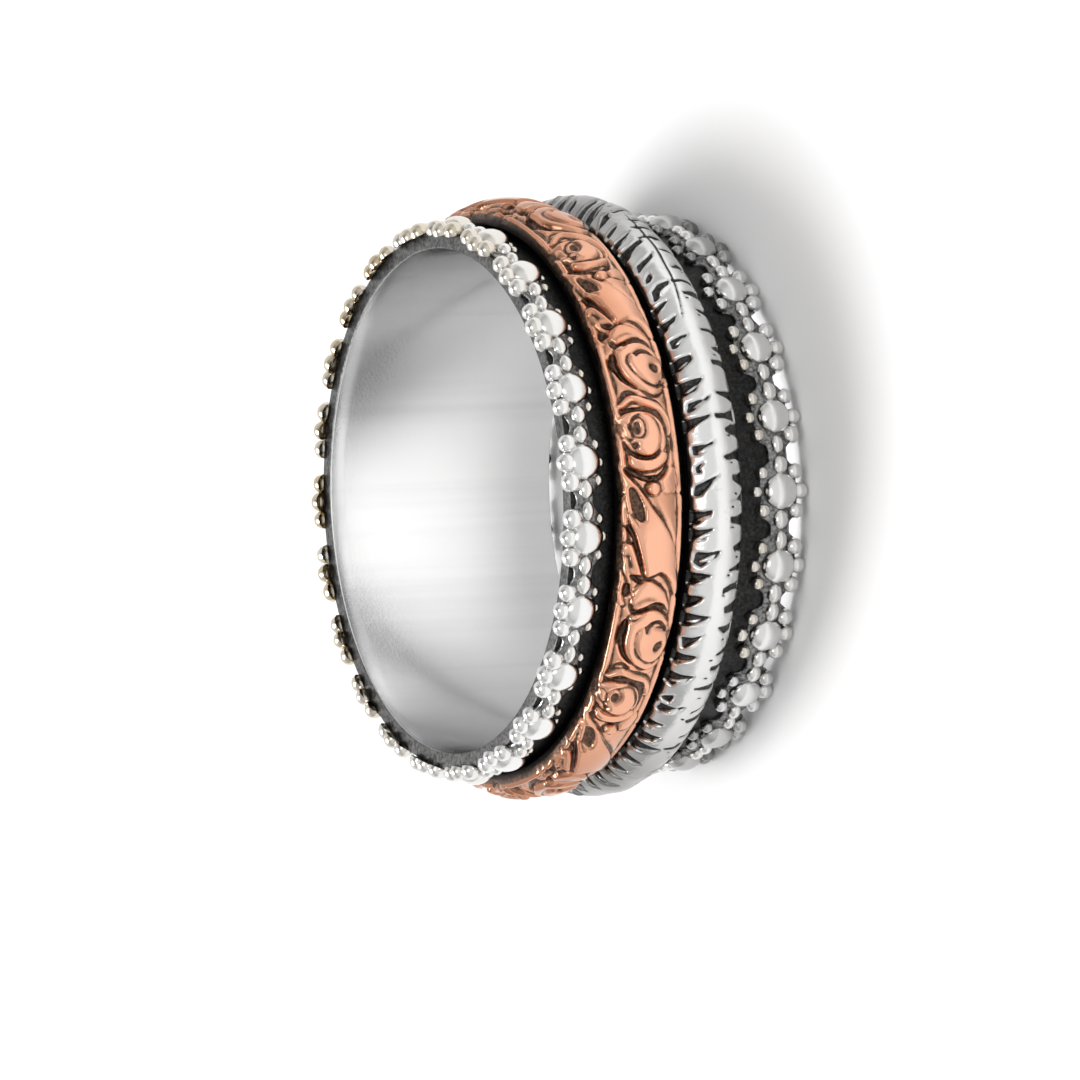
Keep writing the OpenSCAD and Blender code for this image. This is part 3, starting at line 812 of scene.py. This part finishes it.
openRoseForms = [
    ("rib", 0.12, [(0.36, -3.36), (0.72, -3.6), (1.17, -3.45), (1.72, -3.23), (2.04, -2.77), (2.1, -2.27)],
     [0.1, 0.13, 0.13, 0.13, 0.1, 0.05]),
    ("groove", 0.08, [(0.31, -3.18), (0.72, -3.23), (1.17, -3.18), (1.63, -2.95), (1.86, -2.59),
                      (1.95, -2.09), (1.95, -1.59), (1.81, -1.13)],
     [0.06, 0.07, 0.07, 0.09, 0.09, 0.08, 0.08, 0.07]),
    ("petal", 0.12, [(0.2, -2.9), (0.45, -3.08), (0.9, -3.1), (1.35, -2.98), (1.68, -2.65), (1.8, -2.2),
                     (1.75, -1.75), (1.5, -1.5), (1.1, -1.38), (0.7, -1.45), (0.4, -1.75), (0.22, -2.2),
                     (0.15, -2.6)], None),
    ("petal", 0.17, oval(1.05, -2.2, 0.54, 0.76, 12), None),
    ("groove", 0.06, [(1.4, -2.86), (1.51, -2.59), (1.54, -2.34)], [0.02, 0.035, 0.02]),
    ("petal", 0.19, oval(0.755, -2.5, 0.2, 0.34), None),
    ("pit", 0.13, oval(0.755, -2.5, 0.125, 0.25), None),
    ("rib", 0.15, [(0.31, -2.73), (0.38, -2.5), (0.47, -2.15)], [0.05, 0.1, 0.03]),
    ("groove", 0.08, [(0.15, -2.73), (0.13, -2.5), (0.24, -2.18)], [0.03, 0.03, 0.02]),
    ("pit", 0.1, oval(0.63, -1.86, 0.08, 0.12), None),
    ("petal", 0.15, [(0.4, -1.57), (0.72, -1.38), (1.17, -1.36), (1.54, -1.56), (1.76, -1.59),
                     (1.78, -1.36), (1.54, -1.09), (1.08, -0.91), (0.67, -0.95), (0.4, -1.13)], None),
    ("groove", 0.12, [(0.26, -1.09), (0.58, -0.82), (0.99, -0.68), (1.4, -0.73), (1.72, -1.0),
                      (1.95, -1.45)],
     [0.04, 0.08, 0.1, 0.1, 0.08, 0.05]),
    ("groove", 0.06, [(0.36, -1.86), (0.63, -1.54), (0.99, -1.43), (1.36, -1.54), (1.56, -1.77)],
     [0.02, 0.035, 0.035, 0.03, 0.015]),
    ("petal", 0.15, oval(1.17, -0.3, 0.26, 0.25), None),
]


def buildRoseBand():
    band = roseBand
    turned, across = fitBand(band, "rose_spinner")
    along = np.interp(turned * band["motifRadius"], band["seen"], band["even"])
    relief = Relief(across, along, band["repeat"] * band["repeats"])
    stipple = rng.normal(0, 1, relief.height.shape)
    relief.height += band["ground"] + band["stipple"] * blur(stipple, 1)
    relief.recess += np.clip(band["groundDark"] + band["stippleDark"] * blur(stipple, 1), 0, 1)
    for forms in (leafForms, sideRoseForms, openRoseForms):
        for k in range(band["repeats"]):
            relief.paint(forms, (k - 3) * band["repeat"], 0.012)
    toEdge = np.minimum(across, across[0] + across[-1] - across)
    ends = smooth(toEdge, 0.0, band["edgeFlat"])[:, None]
    height = blur(relief.height, 1) * ends * band["boldness"]
    recess = np.clip(blur(relief.recess, 1) + hollows(band, height), 0, 1)
    # painted shade along the band's edges, near-black in the gaps beside it
    recess = recess + smooth(band["edgeDark"] - toEdge, 0, 0.05)[:, None]
    return buildBand("rose_band", band, height, recess, roseGoldMetal)


hatchedBand = {
    "inner": 9.9, "edge": 10.22, "rise": 0.68, "corner": 0.08, "columns": 1512, "backRows": 54,
    "notches": 84, "backRadius": 10.9, "nicks": 60, "spread": 0.07,
    "swell": 0.03, "hollowGain": 6, "hollowLimits": (-0.3, 0.5),
    "ribbedAt": -14.5, "ribbedWide": 3.0,     # mm round the back, where the notches become long ribs
    # notches from the upper edge: their sizes and how often each comes, reach, half-width, depth and lean
    "upperSizes": (0.4, 0.75, 1.0, 1.2), "upperShares": (0.14, 0.22, 0.36, 0.28),
    "upperReach": 0.62, "upperHalf": (0.17, 0.27), "upperDepth": (0.12, 0.18), "upperLean": (-0.18, 0.08),
    "upperRibbed": 0.4, "inset": 0.16,
    # and from the lower edge, this far behind the upper ones
    "lag": 0.25, "lagSpread": 0.08,
    "lowerReach": (0.58, 0.98), "lowerHalf": (0.12, 0.21), "lowerDepth": (0.08, 0.13),
    "lowerLean": (0.06, 0.09), "lowerRibbed": 0.3,
}

# A gouge cut in from the upper edge, a wedge at the lower one, a shine in a gouge and a short loose dash:
# the first three in shares of reach and half-width, the dash in mm
gouge = [(-0.3, -0.9), (0.45, -1.0), (1.05, -0.85), (0.8, -0.1), (0.5, 0.45), (0.15, 0.85), (-0.3, 0.8)]
wedge = [(-0.2, -1.2), (0.4, -0.8), (1.0, -0.55), (0.9, 0.25), (0.45, 0.65), (-0.2, 1.2)]
shine = [(0.05, 0.35), (0.45, 0.05), (0.85, -0.45)]
dash = [(-0.14, 0.0), (-0.02, -0.05), (0.13, -0.02), (0.1, 0.04)]


def scattered(outline, origin, reach, half, lean, jitter):
    return [(origin[0] + x * reach + rng.normal(0, jitter), origin[1] + y * half + lean * abs(x)
             + rng.normal(0, jitter * 0.8)) for x, y in outline]


def upperNotch(relief, start, ribbed):
    band = hatchedBand
    size = rng.choice(band["upperSizes"], p=band["upperShares"])
    reach = band["upperReach"] * size + band["upperRibbed"] * ribbed
    half = rng.uniform(*band["upperHalf"]) * size ** 0.5
    lean = rng.normal(*band["upperLean"]) - 0.3 * ribbed
    inset = band["inset"] if size < 0.5 or rng.uniform() < 0.3 else 0.0
    outline = [(max(x, -0.1) if inset else x, y) for x, y in gouge]
    depth = rng.uniform(*band["upperDepth"])
    outline = scattered(outline, (inset, start), reach, half, lean, 0.04)
    relief.paint([("chip", depth, outline, None)], 0, 0.0)
    if size > 0.7:
        for place in rng.uniform(-0.1, 0.6, rng.integers(1, 3)):
            line = [(inset + reach * x, start + half * (y + place) + lean * x) for x, y in shine]
            relief.paint([("glint", 0.09, line, [0.02, 0.045, 0.012])], 0, 0.01)


# Wide enough outside for neighbours to run together in places, with short loose dashes further in
def lowerNotch(relief, start, ribbed, width):
    band = hatchedBand
    reach = rng.uniform(*band["lowerReach"]) + band["lowerRibbed"] * ribbed
    half = rng.uniform(*band["lowerHalf"])
    lean = rng.normal(*band["lowerLean"]) + 0.25 * ribbed
    apart = reach * 0.35 if rng.uniform() < 0.35 else 0.0
    outline = [(width - x, y) for x, y in scattered(wedge, (apart, start), reach, half, lean, 0.045)]
    relief.paint([("chip", rng.uniform(*band["lowerDepth"]), outline, None)], 0, 0.0)
    if rng.uniform() < 0.6:
        x, y = width - reach * rng.uniform(0.7, 1.3), start + rng.uniform(0.25, 0.5)
        relief.paint([("chip", 0.07, [(x + a, y + b) for a, b in dash], None)], 0, 0.03)


def buildHatchedBand():
    band = hatchedBand
    turned, across = fitBand(band, "hatched_spinner")
    loop, width = 2 * math.pi * band["backRadius"], band["high"] - band["low"]
    relief = Relief(across, turned * band["backRadius"], loop)
    pitch = loop / band["notches"]
    for k in range(band["notches"]):
        start = k * pitch + rng.normal(0, band["spread"])
        away = (start - loop / 2) % loop - loop / 2 - band["ribbedAt"]
        ribbed = math.exp(-(away / band["ribbedWide"]) ** 2)
        upperNotch(relief, start, ribbed)
        lowerNotch(relief, start + band["lag"] + rng.normal(0, band["lagSpread"]), ribbed, width)
    nicks = [(rng.uniform(0.6, 1.3), rng.uniform(-0.5, 0.5) * loop) for _ in range(band["nicks"])]
    for x, y in nicks:
        relief.paint([("groove", 0.03, [(x, y), (x + rng.uniform(0.08, 0.3), y + rng.normal(0, 0.05))],
                       [0.02, 0.008])], 0, 0.0)
    # a long thin groove along the crown, near the picture's top
    relief.paint([("groove", 0.04, [(1.1, -13.2), (1.04, -11.8), (1.02, -9.6), (0.9, -8.0), (0.68, -6.8)],
                   [0.02, 0.05, 0.045, 0.035, 0.012])], 0, 0.0)
    swell = band["swell"] * np.sin(turned * 31) * np.cos(turned * 7)
    height = blur(relief.height, 1) + swell[None, :] * np.sin(math.pi * across / width)[:, None]
    recess = np.clip(blur(relief.recess, 1) + hollows(band, height), 0, 1)
    return buildBand("hatched_band", band, height, recess, hatchedMetal)


placeCamera()
buildStudio()
print("studio ready")
sleevePiece = buildSleeve()
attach(sleevePiece, "core")
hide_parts("core_band")
for piece in buildEdges():
    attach(piece, "core")
    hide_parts("core_band")
print("sleeve and granulated edges ready")
rosePiece = buildRoseBand()
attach(rosePiece, "rose_ring")
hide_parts("rose_spinner")
print("rose band ready")
hatchedPiece = buildHatchedBand()
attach(hatchedPiece, "hatched_ring")
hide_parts("hatched_spinner")
print("hatched band ready")

bpy.context.scene.view_settings.view_transform = "Standard"
